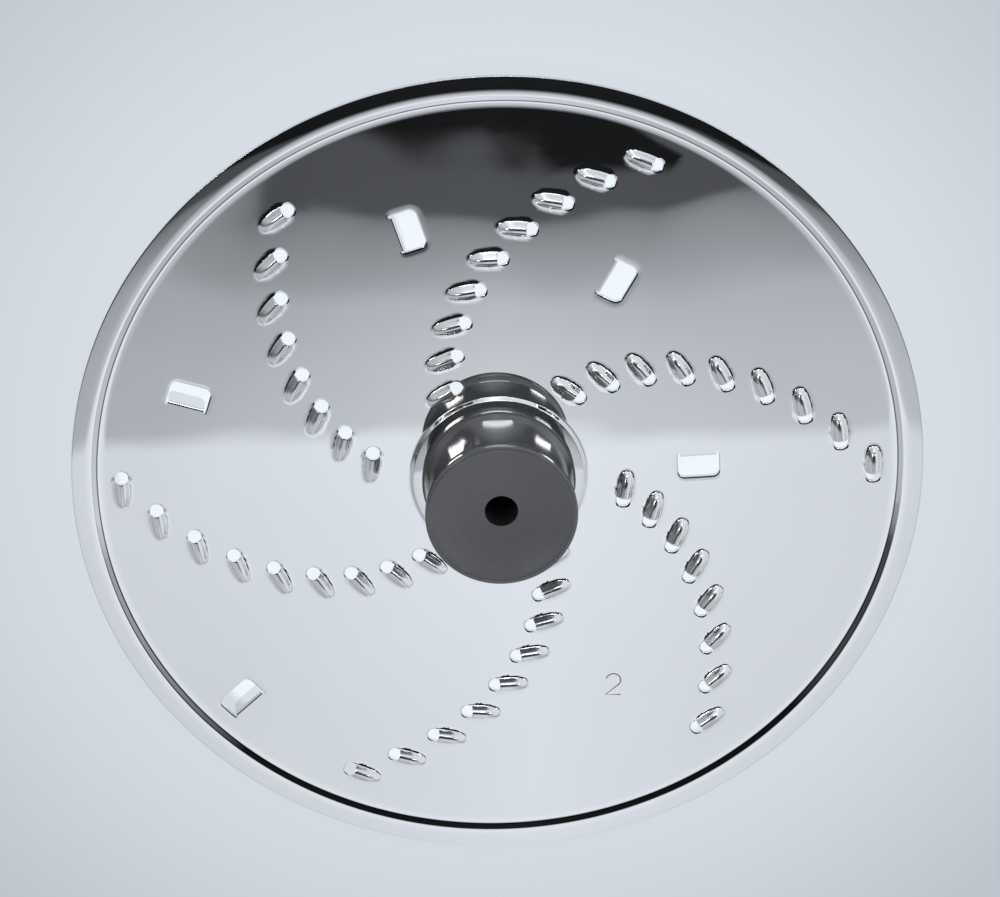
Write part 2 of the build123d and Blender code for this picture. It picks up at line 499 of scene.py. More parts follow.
def tooth_loop(teeth, arch):
    """Plan of the cut edge: the mouth, the hole's round front and the short sides between."""
    steps = len(BOTH_SIDES) - 1
    radius = teeth.hole_radius
    foot = (-teeth.setback, -teeth.lip_half_width)
    side_length = dist(foot, (0.0, -radius))
    arc_length = radius * pi / 4
    lip = []
    for part in BOTH_SIDES:
        y = -teeth.lip_half_width * part
        lip.append((-teeth.setback - teeth.lean * arch.section(abs(y)) / arch.height, y))
    low = []
    for step in range(1, steps):
        along = (side_length + arc_length) * step / steps
        if along < side_length:
            low.append(between(foot, (0.0, -radius), along / side_length))
        else:
            low.append(on_circle(radius, -pi / 2 + (along - side_length) / radius))
    front = [on_circle(radius, -pi / 4 + pi / 2 * step / steps) for step in range(steps + 1)]
    return lip + low + front + [(x, -y) for x, y in reversed(low)]


def square_loop(half):
    """Plan of the square round a hole, with a point for each point of the cut edge."""
    left = [(-half, -half * part) for part in BOTH_SIDES]
    low = [(half * part, -half) for part in BOTH_SIDES[1:-1]]
    return left + low + [(-x, -y) for x, y in left + low]


def top_shares(start, end, foot):
    """Shares of the way from the cut edge to the strip's edge, with one of them on the arch's foot."""
    crossing = (foot - start) / max(end - start, MERGE_DISTANCE)
    if not FOOT_NEAREST < crossing < 1 - FOOT_NEAREST:
        return TOP_SHARES
    middle = TOP_SHARES[2]
    inner = [part / middle * crossing for part in TOP_SHARES if part <= middle]
    return inner + [1 - (1 - part) / (1 - middle) * (1 - crossing) for part in TOP_SHARES if part > middle]


def tooth_template(teeth, sheet):
    """Points and faces of one tooth with the strip of sheet round it, and that strip's outline."""
    half, tail, wall = teeth.strip_half, teeth.strip_tail, teeth.wall
    top = Arch(teeth, teeth.height - skirt_rise(teeth), teeth.crown_radius, teeth.foot_radius,
               teeth.skirt_slope, teeth.reach)
    under = Arch(teeth, teeth.height + sheet - wall, teeth.crown_radius - wall,
                 teeth.foot_radius + UNDER_FOOT * sheet, 0.0, teeth.reach - wall / 2)
    inner = tooth_loop(teeth, top)
    outer = square_loop(half)
    sides = len(BOTH_SIDES)
    columns = [y for x, y in outer[:sides]]
    rows = [-half - (tail - half) * part for part in REAR_SHARES]
    upper_rings = []
    lower_rings = []
    for index, (start, end) in enumerate(zip(inner, outer)):
        across = dist(start, end)
        open_front = 0.0 if index < sides else smooth_step(1 + start[0] / teeth.setback)
        edge = teeth.lip_round + (teeth.hole_round - teeth.lip_round) * open_front
        shares = TOP_SHARES
        if start[0] < 0:
            shares = top_shares(abs(start[1]), abs(end[1]), top.half_width)
        steps = edge_steps(edge, across, shares)
        ring = []
        for away, drop in zip(steps, edge_drops(edge, steps)):
            x, y = between(start, end, away / across)
            ring.append((x, y, tooth_height(x, y, top, teeth) - drop))
        upper_rings.append(ring)
        ring = []
        for part in UNDER_SHARES:
            x, y = between(start, end, part)
            lift = 0.0 if part else teeth.lip_round
            ring.append((x, y, -sheet + mouth_fade(x, teeth) * under.rise(x, y) + lift))
        lower_rings.append(ring)
    shell = Shell()
    cut = shell.add_rings(upper_rings) + shell.add_rings(lower_rings)
    shell.add(cut, strips(2, len(inner), closed=True))
    rear = [(x, y) for x in rows for y in columns]
    shell.add([(x, y, tooth_height(x, y, top, teeth)) for x, y in rear], strips(len(rows), sides))
    shell.add([(x, y, under.rise(x, y) - sheet) for x, y in rear], strips(len(rows), sides))
    outline = outer[sides - 1:] + [(x, half) for x in rows]
    outline += [(-tail, y) for y in columns[1:-1]] + [(x, -half) for x in rows[:0:-1]]
    return np.concatenate(shell.points), shell.faces, outline


# Tabs: the directions of the windows in degrees, and how finely each face is divided

TAB_TURNS = (-1.4, 56.8, 104.0, 158.9, 218.8)
TAB_SHARES = (0.15, 0.32, 0.5, 0.68, 0.84, 1.0)
FLAP_COLUMNS = 16
FLAP_ROWS = 5
BEND_STEPS = 8
CORNER_STEPS = 6
CUT_SPACING = 0.5 * MM
SLIT_ANGLE = pi - radians(12)
UNDER_ROUND = 0.3
ON_LINE = 0.001 * MM
ON_BEND = 0.01 * MM


def tab_places(tabs, height):
    """Where each window stands, square to its radius."""
    places = []
    for step, degrees in enumerate(TAB_TURNS):
        radius = tabs.start_radius + tabs.step * step
        angle = radians(degrees)
        places.append((*on_circle(radius, angle), height, angle - pi / 2))
    return places


def divided(start, end):
    """Points from a start up to an end, without the end."""
    steps = max(1, ceil(dist(start, end) / CUT_SPACING))
    return [between(start, end, step / steps) for step in range(steps)]


def hinge_line(tabs):
    """Where the flap's bend begins."""
    return tabs.hinge_inset - tabs.window_width / 2


def flap_columns(tabs):
    """Places along the flap's bend, from end to end."""
    return [tabs.flap_width * (column / FLAP_COLUMNS - 0.5) for column in range(FLAP_COLUMNS + 1)]


def window_loop(tabs):
    """Plan of the cut round a window, from the flap's upper corner to its lower one."""
    hinge = hinge_line(tabs)
    slit = hinge - tabs.relief
    half = tabs.window_length / 2
    flap = tabs.flap_width / 2
    radius = tabs.window_round
    path = [(hinge, flap), (slit, flap), (slit, half)]
    for step in range(CORNER_STEPS + 1):
        x, y = on_circle(radius, pi / 2 - pi / 2 * step / CORNER_STEPS)
        path.append((tabs.window_width / 2 - radius + x, half - radius + y))
    path += [(x, -y) for x, y in reversed(path)]
    return [place for start, end in zip(path, path[1:]) for place in divided(start, end)]


def strip_edge(tabs, x, y):
    """Plan of the outer edge of the strip round a window, beside a place on the window's edge."""
    hinge = hinge_line(tabs)
    slit = hinge - tabs.relief
    half = tabs.window_length / 2
    flap = tabs.flap_width / 2
    core_x = tabs.window_width / 2 - tabs.window_round
    core_y = half - tabs.window_round
    reach = tabs.window_round + tabs.margin
    aside = abs(y)
    near_x, near_y = -core_x, core_y
    if x <= hinge + ON_LINE and aside <= flap + ON_LINE:
        if x > hinge - ON_LINE:
            return -core_x - reach, y * core_y / flap
        angle = pi + (SLIT_ANGLE - pi) * (hinge - x) / tabs.relief
    elif x <= slit + ON_LINE:
        along = (aside - flap) / (half - flap)
        angle = SLIT_ANGLE + (atan2(half - core_y, slit + core_x) - SLIT_ANGLE) * along
    else:
        near_x = min(max(x, -core_x), core_x)
        near_y = min(aside, core_y)
        angle = atan2(aside - near_y, x - near_x)
    edge_y = near_y + reach * sin(angle)
    return near_x + reach * cos(angle), edge_y if y > 0 else -edge_y


def tab_template(tabs, sheet):
    """Points and faces of one window with its flap and the strip round it, and that strip's outline."""
    hinge = hinge_line(tabs)
    cut = window_loop(tabs)
    inner = cut + [(hinge, y) for y in flap_columns(tabs)[:-1]]
    outline = [strip_edge(tabs, x, y) for x, y in inner]
    shell = Shell()
    wall = []
    for level, cut_round in ((0.0, -tabs.edge_round), (-sheet, UNDER_ROUND * tabs.edge_round)):
        rings = []
        for start, end in zip(inner, outline):
            across = dist(start, end)
            steps = edge_steps(tabs.edge_round, across, TAB_SHARES)
            rolled = min(tabs.roll_width, steps[-2])
            ring = []
            for away, drop in zip(steps, edge_drops(cut_round, steps)):
                drawn = tabs.roll * max(1 - away / rolled, 0.0) ** 2
                height = level if start[0] < hinge + ON_BEND else level - drawn + drop
                ring.append((*between(start, end, away / across), height))
            rings.append(ring)
        wall += shell.add_rings(rings)[: len(cut) + 1]
    shell.add(wall, strips(2, len(cut) + 1))
    flap = [flap_face(tabs, 0.0, tabs.bend_radius), flap_face(tabs, -sheet, tabs.crease)]
    columns = FLAP_COLUMNS + 1
    rows = len(flap[0]) // columns
    for face in flap:
        shell.add(face, strips(rows, columns))
    first = [row * columns for row in range(rows)]
    end = [first[-1] + column for column in range(1, FLAP_COLUMNS)]
    border = first + end + [index + FLAP_COLUMNS for index in reversed(first)]
    shell.add([face[index] for face in flap for index in border], strips(2, len(border)))
    return np.concatenate(shell.points), shell.faces, outline


def flap_face(tabs, top, radius):
    """One face of a flap: round the bend, then straight down to the rounded end."""
    hinge = hinge_line(tabs)
    level = top - radius
    points = []
    for step in range(BEND_STEPS + 1):
        angle = pi / 2 * step / BEND_STEPS
        points += [(hinge + radius * sin(angle), y, level + radius * cos(angle)) for y in flap_columns(tabs)]
    for step in range(1, FLAP_ROWS + 1):
        for y in flap_columns(tabs):
            over = max(abs(y) - (tabs.flap_width / 2 - tabs.flap_round), 0.0)
            short = tabs.flap_round - sqrt(max(tabs.flap_round ** 2 - over ** 2, 0.0))
            points.append((hinge + radius, y, level - (tabs.flap_depth + level - short) * step / FLAP_ROWS))
    return points


# Plate

APRON_SHARES = (0.35, 0.7)
UNDER_SHIFT = 0.24
EDGE_START = 3


def rim_line(plate, level, shift):
    """One face of the rim step: a faint slope, a bend up, a bend down and a faint slope."""
    flange = PLATE_RADIUS - plate.flange_width
    high = flange - plate.apron_width
    low = high - plate.step_width
    start = low - plate.apron_width
    line = [(start, 0.0, 0)]
    for part in APRON_SHARES:
        line.append((start + plate.apron_width * part, plate.apron_rise * part ** 2, 0))
    line.append((low + shift, plate.apron_rise, plate.step_round))
    line.append((high + shift, plate.step_rise - plate.apron_rise, plate.step_round))
    for part in reversed(APRON_SHARES):
        line.append((flange - plate.apron_width * part, plate.step_rise - plate.apron_rise * part ** 2, 0))
    line.append((flange, plate.step_rise, 0))
    return [(x, level + z) for x, z in rounded(line)]


def rim_profile(plate):
    """Rim of the plate from the field's top face round the cut edge to its under face."""
    top = rim_line(plate, plate.field_height, 0.0)
    under = rim_line(plate, plate.field_height - plate.sheet, UNDER_SHIFT * plate.sheet)
    high, low = top[-1][1], under[-1][1]
    start = PLATE_RADIUS - EDGE_START * plate.edge_round
    edge = [(start, high, 0), (PLATE_RADIUS, high, plate.edge_round), (PLATE_RADIUS, low, plate.edge_round),
            (start, low, 0)]
    return top + rounded(edge) + under[::-1]


def collar_profile(plate, start):
    """Collar of the plate from the field's top face over the land to its under face."""
    rise = plate.collar_rise
    sheet = plate.sheet
    foot = plate.collar_radius
    land = foot - plate.collar_slope
    outline = rounded([
        (start, 0.0, 0),
        (foot, 0.0, plate.collar_round),
        (land, rise, plate.collar_round),
        (plate.bore_radius, rise, 0),
        (plate.bore_radius, rise - sheet, 0),
        (land, rise - sheet, 0),
        (foot, -sheet, 0),
        (start, -sheet, 0),
    ])
    return [(x, plate.field_height + z) for x, z in outline]


def field_faces(circles, outlines):
    """Flat triangles between two circles, with the outlines left open."""
    points = []
    edges = []
    for loop in circles + outlines:
        base = len(points)
        points += [Vector(place) for place in loop]
        edges += [(base + i, base + (i + 1) % len(loop)) for i in range(len(loop))]
    flat, _, triangles, *_ = delaunay_2d_cdt(points, edges, [], INSIDE_EDGES, FLAT_TOLERANCE, False)
    inside = min(hypot(x, y) for x, y in circles[0])
    islands = []
    for loop in outlines:
        middle = np.mean(loop, axis=0)
        islands.append((middle, max(hypot(x - middle[0], y - middle[1]) for x, y in loop), loop))
    kept = []
    for triangle in triangles:
        centre = sum((flat[i] for i in triangle), Vector((0, 0))) / 3
        if centre.length < inside or any(covers(island, centre) for island in islands):
            continue
        kept.append(tuple(triangle))
    return flat, kept


def covers(island, place):
    """True where a place lies inside an outline."""
    middle, reach, loop = island
    if hypot(place[0] - middle[0], place[1] - middle[1]) > reach:
        return False
    within = False
    for (x0, y0), (x1, y1) in zip(loop, loop[1:] + loop[:1]):
        if (y0 > place[1]) != (y1 > place[1]):
            if place[0] < x0 + (place[1] - y0) * (x1 - x0) / (y1 - y0):
                within = not within
    return within


def plate_mesh(plate, teeth, tabs):
    """The whole pressed sheet as one closed mesh."""
    shell = Shell()
    outlines = []
    groups = (
        (tooth_template(teeth, plate.sheet), tooth_places(teeth, plate.field_height)),
        (tab_template(tabs, plate.sheet), tab_places(tabs, plate.field_height)),
    )
    for (points, faces, outline), places in groups:
        flat = [(x, y, 0.0) for x, y in outline]
        for place in places:
            shell.add(placed(points, place), faces)
            outlines.append([(x, y) for x, y, _ in placed(flat, place)])
    inner = plate.collar_radius + plate.margin
    rim = lathe(rim_profile(plate), plate.rim_steps)
    collar = lathe(collar_profile(plate, inner), plate.collar_steps)
    shell.add(*rim)
    shell.add(*collar)
    circles = [
        [(x, y) for x, y, _ in collar[0][: plate.collar_steps]],
        [(x, y) for x, y, _ in rim[0][: plate.rim_steps]],
    ]
    flat, triangles = field_faces(circles, outlines)
    for level in (plate.field_height, plate.field_height - plate.sheet):
        shell.add([(x, y, level) for x, y in flat], triangles)
    return shell.mesh("pressed_plate")


# Hub: steps and curve of its hollow faces, shares of the rim's sizes at its bends, and two small rounds

HOLLOW_STEPS = 14
DISH_CURVE = 1.6
CREST_SHIFT, CREST_ROUND = 0.2, 0.8
RIM_FALL = 0.15
BROW_RISE, BROW_ROUND = 0.4, 0.3
BEAD_CREASE = 0.12 * MM
BEAD_FOOT = 0.1 * MM


def hub_profile(hub, plate):
    """Closed profile of the hub, from the bore over the knob and down round the boss."""
    top = HUB_BOX[1][2]
    land = plate.field_height + plate.collar_rise
    clamp = land - plate.sheet
    bead = land + hub.bead_height
    waist = plate.field_height + hub.waist_height
    rim = hub.rim_radius
    brow = top - hub.rim_height
    shares = [step / HOLLOW_STEPS for step in range(HOLLOW_STEPS + 1)]
    side = [bead + (brow - bead) * part for part in shares]
    side = [(hub.waist_radius + (z - waist) ** 2 / (2 * hub.hollow_radius), z, 0) for z in side]
    bore = hub.bore_radius
    crest = rim - hub.rim_round
    outline = [(bore, hub.socket_depth, 0), (bore, top - hub.dish_depth, hub.bore_round)]
    for part in shares[1:-1]:
        outline.append((bore + (crest - bore) * part, top - hub.dish_depth * (1 - part ** DISH_CURVE), 0))
    outline += [
        (crest + CREST_SHIFT * hub.rim_round, top, CREST_ROUND * hub.rim_round),
        (rim, top - RIM_FALL * hub.rim_round, hub.rim_round),
        (rim, brow + BROW_RISE * hub.rim_height, BROW_ROUND * hub.rim_height),
    ]
    outline += side[:0:-1]
    outline += [
        (side[0][0], bead, BEAD_CREASE),
        (hub.bead_radius, bead, hub.bead_round),
        (hub.bead_radius, land, BEAD_FOOT),
        (hub.neck_radius, land, 0),
        (hub.neck_radius, clamp, 0),
        (hub.clamp_radius, clamp, hub.edge_round / 2),
        (hub.clamp_radius, clamp - hub.clamp_thickness, hub.edge_round),
        (hub.boss_radius, clamp - hub.clamp_thickness, hub.edge_round),
        (hub.boss_radius, 0, hub.edge_round),
        (hub.socket_radius + hub.socket_bevel, 0, 0),
        (hub.socket_radius, hub.socket_bevel, 0),
        (hub.socket_radius, hub.socket_depth, 0),
    ]
    return rounded(outline, closed=True)


def cut_box(target, low, high):
    """Cuts a box out of an object's mesh."""
    bm = bmesh.new()
    bmesh.ops.create_cube(bm, size=1)
    size = Vector(high) - Vector(low)
    middle = (Vector(high) + Vector(low)) / 2
    bmesh.ops.transform(bm, matrix=Matrix.Translation(middle) @ Matrix.Diagonal((*size, 1)), verts=bm.verts)
    mesh = bpy.data.meshes.new("keyway_cutter")
    bm.to_mesh(mesh)
    bm.free()
    cutter = bpy.data.objects.new("keyway_cutter", mesh)
    bpy.context.collection.objects.link(cutter)
    modifier = target.modifiers.new("keyways", "BOOLEAN")
    modifier.operation = "DIFFERENCE"
    modifier.solver = "EXACT"
    modifier.object = cutter
    shaped = target.evaluated_get(bpy.context.evaluated_depsgraph_get())
    result = bpy.data.meshes.new_from_object(shaped)
    target.modifiers.clear()
    target.data = result
    bpy.data.objects.remove(cutter)
    bpy.data.meshes.remove(mesh)


# Etched digit: its round, as a share of its half width, and the arc that the round covers

DIGIT_ROUND = 0.94
DIGIT_START, DIGIT_SWEEP = radians(165), radians(200)
DIGIT_STEPS = 14


def digit_path(mark):
    """Middle line of a plain figure two, drawn from its upper left to its lower right."""
    half = mark.width / 2
    top = mark.height / 2
    radius = half * DIGIT_ROUND
    path = []
    for step in range(DIGIT_STEPS + 1):
        x, y = on_circle(radius, DIGIT_START - DIGIT_SWEEP * step / DIGIT_STEPS)
        path.append(Vector((x, top - radius + y)))
    return path + [Vector((-half, -top)), Vector((half, -top))]


def digit_mesh(mark, height):
    """A thin raised ribbon along the digit's middle line."""
    path = digit_path(mark)
    rows = []
    for index, point in enumerate(path):
        ahead = (path[min(index + 1, len(path) - 1)] - path[max(index - 1, 0)]).normalized()
        side = Vector((-ahead.y, ahead.x)) * mark.stroke / 2
        for across, level in ((side, 0.0), (-side, 0.0), (-side, mark.thickness), (side, mark.thickness)):
            rows.append((point.x + across.x, point.y + across.y, level))
    faces = strips(len(path), 4, closed=True)
    faces += [(0, 1, 2, 3), tuple(range(len(rows) - 4, len(rows)))]
    shell = Shell()
    shell.add(placed(rows, (*on_circle(mark.radius, mark.angle), height, mark.tilt)), faces)
    return shell.mesh("etched_digit")


# Materials: scales of the noises, and the reaches and strengths of the finishes and of the painted shade and
# light

MIX_FIRST, MIX_SECOND, MIX_RESULT = 6, 7, 2
PATCH_SCALE, MARK_SCALE, WAVE_SCALE = 45, 700, 30
MARK_STRETCH = (0.2, 1.0, 1.0)
POLISH = (0.012, 0.022, 0.3, 0.7)
# Reach of the painted shade on both sides of the rim's crease
CREASE_SHADE_REACH = (0.08 * MM, 0.2 * MM)
DRAWN_RISE = (0.1 * MM, 0.5 * MM)
TEETH_START = (19 * MM, 20 * MM)
TEETH_END = (79 * MM, 80 * MM)
WAVE_STRENGTH, WAVE_HEIGHT = 0.5, 0.1 * MM
FLECK_SCALE, GRAIN_SCALE, WORN_SCALE = 1600, 4200, 2500
SIDE_FLECKS, TOP_FLECKS = 0.8, 0.7
DISH_EDGE, RIM_EDGE, TOP_EDGE = (1.3, 1.1), (1.3, 1.0), (1.1, 0.7)
BORE_REACH = (0.01 * MM, 0.08 * MM)
GRAIN_STRENGTH, GRAIN_HEIGHT = 0.25, 0.08 * MM
PLASTIC_IOR = 1.5
ETCH_LIGHTER = 1.5
ETCH_METAL = 0.2
TOP_ROUGHNESS, BORE_ROUGHNESS, ETCH_ROUGHNESS = (0.1, 0.36), (0.0, 0.8), (0.35, 0.6)
FLOOR_ROUGHNESS = 0.9
POOL_EDGE = (78 * MM, 80 * MM)
BOSS_EDGE = (14 * MM, 16 * MM)


def new_material(name):
    """An empty material with a principled shader."""
    material = bpy.data.materials.new(name)
    material.use_nodes = True
    tree = material.node_tree
    return material, tree, tree.nodes["Principled BSDF"]


def set_inputs(tree, node, inputs):
    """Gives each input of a node its plain value, or links another node's output to it."""
    for name, value in inputs.items():
        if isinstance(value, bpy.types.NodeSocket):
            tree.links.new(value, node.inputs[name])
        else:
            node.inputs[name].default_value = value


def add_node(tree, kind, inputs, output, **settings):
    """Adds a node with its settings and inputs, and returns one of its outputs."""
    node = tree.nodes.new("ShaderNode" + kind)
    for name, value in settings.items():
        setattr(node, name, value)
    set_inputs(tree, node, inputs)
    return node.outputs[output]


def map_range(tree, source, low, high, from_low=0.0, from_high=1.0):
    """A value carried over from one range to another."""
    inputs = {"Value": source, "From Min": from_low, "From Max": from_high, "To Min": low, "To Max": high}
    return add_node(tree, "MapRange", inputs, "Result")


def noise(tree, vector, scale, detail=3.0, stretch=None):
    """Noise over a place or a direction, drawn out where stretched."""
    if stretch:
        vector = add_node(tree, "Mapping", {"Vector": vector, "Scale": stretch}, "Vector")
    return add_node(tree, "TexNoise", {"Vector": vector, "Scale": scale, "Detail": detail}, "Fac")


def mix_colours(tree, factor, first, second, blend="MIX"):
    """A colour between two, each a plain colour or another node's, by a factor."""
    inputs = {"Factor": factor}
    for place, value in ((MIX_FIRST, first), (MIX_SECOND, second)):
        inputs[place] = value if isinstance(value, bpy.types.NodeSocket) else (*value, 1)
    return add_node(tree, "Mix", inputs, MIX_RESULT, data_type="RGBA", blend_type=blend)


def combine(tree, operation, first, second=0.0):
    """Two values put together by a plain piece of arithmetic."""
    return add_node(tree, "Math", {0: first, 1: second}, "Value", operation=operation)


def times(tree, first, second):
    """The product of two values."""
    return combine(tree, "MULTIPLY", first, second)


def larger(tree, first, second):
    """The larger of two values."""
    return combine(tree, "MAXIMUM", first, second)


def coordinates(tree, kind="Object"):
    """Places in the object's own coordinates, in metres, or another kind of coordinates."""
    return add_node(tree, "TexCoord", {}, kind)


def along_axis(tree, vector, axis):
    """One coordinate of a place or a direction."""
    return add_node(tree, "SeparateXYZ", {"Vector": vector}, axis)


def from_axis(tree, place):
    """Distance of a place from the axis that the disc turns about."""
    flat = add_node(tree, "VectorMath", {0: place, 1: (1, 1, 0)}, "Vector", operation="MULTIPLY")
    return add_node(tree, "VectorMath", {0: flat}, "Value", operation="LENGTH")


def bump(tree, height, strength, distance):
    """A bump from a height."""
    return add_node(tree, "Bump", {"Height": height, "Strength": strength, "Distance": distance}, "Normal")


def steel_material(finish, plate):
    """Polished rolled sheet, duller on the drawn teeth, with painted shade in the rim's crease."""
    material, tree, shader = new_material("polished_sheet_steel")
    place = coordinates(tree)
    away = from_axis(tree, place)
    height = along_axis(tree, place, "Z")
    # Painted shade: a fine dark line along the rim's crease, in the etched digit's dark grey
    crease = PLATE_RADIUS - plate.flange_width - plate.apron_width - plate.step_width
    beside = combine(tree, "ABSOLUTE", combine(tree, "SUBTRACT", away, crease))
    grime = map_range(tree, beside, finish.grime, 0.0, *CREASE_SHADE_REACH)
    sheet = mix_colours(tree, noise(tree, place, PATCH_SCALE, 4.0), finish.steel_shade, finish.steel)
    drawn = map_range(tree, height, 0.0, 1.0, *(plate.field_height + rise for rise in DRAWN_RISE))
    drawn = times(tree, drawn, map_range(tree, away, 0.0, 1.0, *TEETH_START))
    drawn = times(tree, drawn, map_range(tree, away, 1.0, 0.0, *TEETH_END))
    polish = map_range(tree, noise(tree, place, MARK_SCALE, stretch=MARK_STRETCH), *POLISH)
    waves = noise(tree, place, WAVE_SCALE, 1.0)
    set_inputs(tree, shader, {
        "Base Color": mix_colours(tree, grime, sheet, finish.etch),
        "Roughness": larger(tree, polish, times(tree, drawn, finish.dullness)),
        "Normal": bump(tree, waves, WAVE_STRENGTH, WAVE_HEIGHT),
        "Metallic": 1.0,
    })
    return material


def plastic_material(finish, hub):
    """Moulded plastic: a glossy side, a finely grained matt top and painted deep shade in the bore."""
    material, tree, shader = new_material("grey_moulding")
    place = coordinates(tree)
    away = from_axis(tree, place)
    height = along_axis(tree, place, "Z")
    top = HUB_BOX[1][2]
    in_dish = map_range(tree, height, 0.0, 1.0, *(top - part * hub.dish_depth for part in DISH_EDGE))
    in_rim = map_range(tree, away, 1.0, 0.0, *(hub.rim_radius - part * hub.rim_round for part in RIM_EDGE))
    matt = times(tree, in_dish, in_rim)
    on_rim = map_range(tree, height, 0.0, 1.0, *(top - part * hub.rim_round for part in TOP_EDGE))
    # Painted shade: the bore's wall takes the deep shade colour
    in_bore = map_range(tree, away, 1.0, 0.0, *(hub.bore_radius + reach for reach in BORE_REACH))
    flecks = noise(tree, place, FLECK_SCALE)
    side = mix_colours(tree, flecks, [SIDE_FLECKS * part for part in finish.plastic], finish.plastic)
    darker = [TOP_FLECKS * part for part in finish.plastic_top]
    grained = mix_colours(tree, flecks, darker, finish.plastic_top)
    body = mix_colours(tree, larger(tree, matt, on_rim), side, grained)
    rough = map_range(tree, matt, *TOP_ROUGHNESS)
    grain = noise(tree, place, GRAIN_SCALE, 2.0)
    set_inputs(tree, shader, {
        "Base Color": mix_colours(tree, in_bore, body, finish.plastic_shade),
        "Roughness": larger(tree, rough, map_range(tree, in_bore, *BORE_ROUGHNESS)),
        "Normal": bump(tree, grain, map_range(tree, matt, 0.0, GRAIN_STRENGTH), GRAIN_HEIGHT),
        "IOR": PLASTIC_IOR,
    })
    return material


def etch_material(finish):
    """Dull grey etching on the steel."""
    material, tree, shader = new_material("etched_line")
    worn = noise(tree, coordinates(tree), WORN_SCALE)
    lighter = [min(channel * ETCH_LIGHTER, 1.0) for channel in finish.etch]
    set_inputs(tree, shader, {
        "Base Color": mix_colours(tree, worn, finish.etch, lighter),
        "Roughness": map_range(tree, worn, *ETCH_ROUGHNESS),
        "Metallic": ETCH_METAL,
    })
    return material


def seen_directly(tree):
    """1 for rays that show the background: straight, mirrored or through glass."""
    path = tree.nodes.new("ShaderNodeLightPath").outputs
    mirrored = larger(tree, path["Is Camera Ray"], path["Is Glossy Ray"])
    return larger(tree, mirrored, path["Is Transmission Ray"])


def floor_material(stage):
    """Pale floor that keeps most of its own colour in the object's shade."""
    material, tree, shader = new_material("pale_floor")
    set_inputs(tree, shader, {
        "Base Color": (*stage.floor, 1),
        "Roughness": FLOOR_ROUGHNESS,
        "Specular IOR Level": 0.0,
    })
    away = from_axis(tree, coordinates(tree))
    # Painted light: the floor's glow fades far from the disc and is stronger in a pool under it
    faded = [part * stage.floor_fade for part in stage.floor]
    fade = map_range(tree, away, 0.0, 1.0, stage.fade_start, stage.fade_end)
    glow = {
        "Color": mix_colours(tree, fade, stage.floor, faded),
        "Strength": map_range(tree, away, stage.painted_light_under_disc, 1.0, *POOL_EDGE),
    }
    # Painted shade: the floor's glow is taken away under the boss
    beside_boss = map_range(tree, away, 0.0, stage.floor_glow, *BOSS_EDGE)
    blend = {
        "Fac": times(tree, seen_directly(tree), beside_boss),
        1: shader.outputs["BSDF"],
        2: add_node(tree, "Emission", glow, "Emission"),
    }
    surface = add_node(tree, "MixShader", blend, "Shader")
    set_inputs(tree, tree.nodes["Material Output"], {"Surface": surface})
    return material


# Light round the disc: a pale table in front of it, a dark room over the table's edge, and pale sides
ROOM_UP = (0.07, 0.94, 0.34)
ROOM_RANGE = (-0.2, 0.0)
ROOM_TINT = (0.95, 1.0, 1.075)
ROOM_STOPS = (
    (-0.190, 0.90),
    (-0.094, 1.02),
    (-0.090, 0.77),
    (-0.075, 0.725),
    (-0.061, 0.63),
    (-0.058, 0.57),
    (-0.0545, 0.49),
    (-0.0442, 0.345),
    (-0.0400, 0.26),
    (-0.0378, 0.103),
    (-0.0297, 0.103),
    (-0.0275, 0.011),
    (-0.010, 0.015),
)
WISP_SCALE = 22
WISP_STRETCH = (0.5, 1.0, 1.0)
WISP_DEPTH = 0.0012
# Each holds the light or share at both ends of a range of directions, and that range
OVERHEAD = (0.0, 1.4, 0.63, 0.75)
FALL_ASIDE = (1.0, 0.64, 0.0, 0.2)
TABLE_EDGE = (0.0, 1.0, -0.094, -0.09)
LEFT_SHADE = (0.16, 0.0, -0.09, 0.0)
LEFT_LOW = (0.62, 0.15, -0.16, -0.03)
LEFT_HIGH = (0.15, 0.62, 0.1, 0.45)
LEFT_TO_RIGHT = (0.0, 1.0, -0.1, 0.1)
MIDDLE_TO_SIDE = (0.0, 1.0, 0.4, 0.65)
RIGHT_LIGHT = (0.9, 0.9, 0.9)
# Lamps: name, direction from the disc, size and power
LAMP_DISTANCE = 1.2
LAMPS = (
    ("overhead_lamp", (0.045, 0.536, 0.844), (0.48, 0.07), 1.0),
    ("left_window", (-0.385, 0.188, 0.904), (0.26, 0.12), 1.0),
    ("right_window", (0.452, 0.110, 0.886), (0.26, 0.06), 0.5),
)
FLOOR_SIZE = 8
VIEW_END = 100


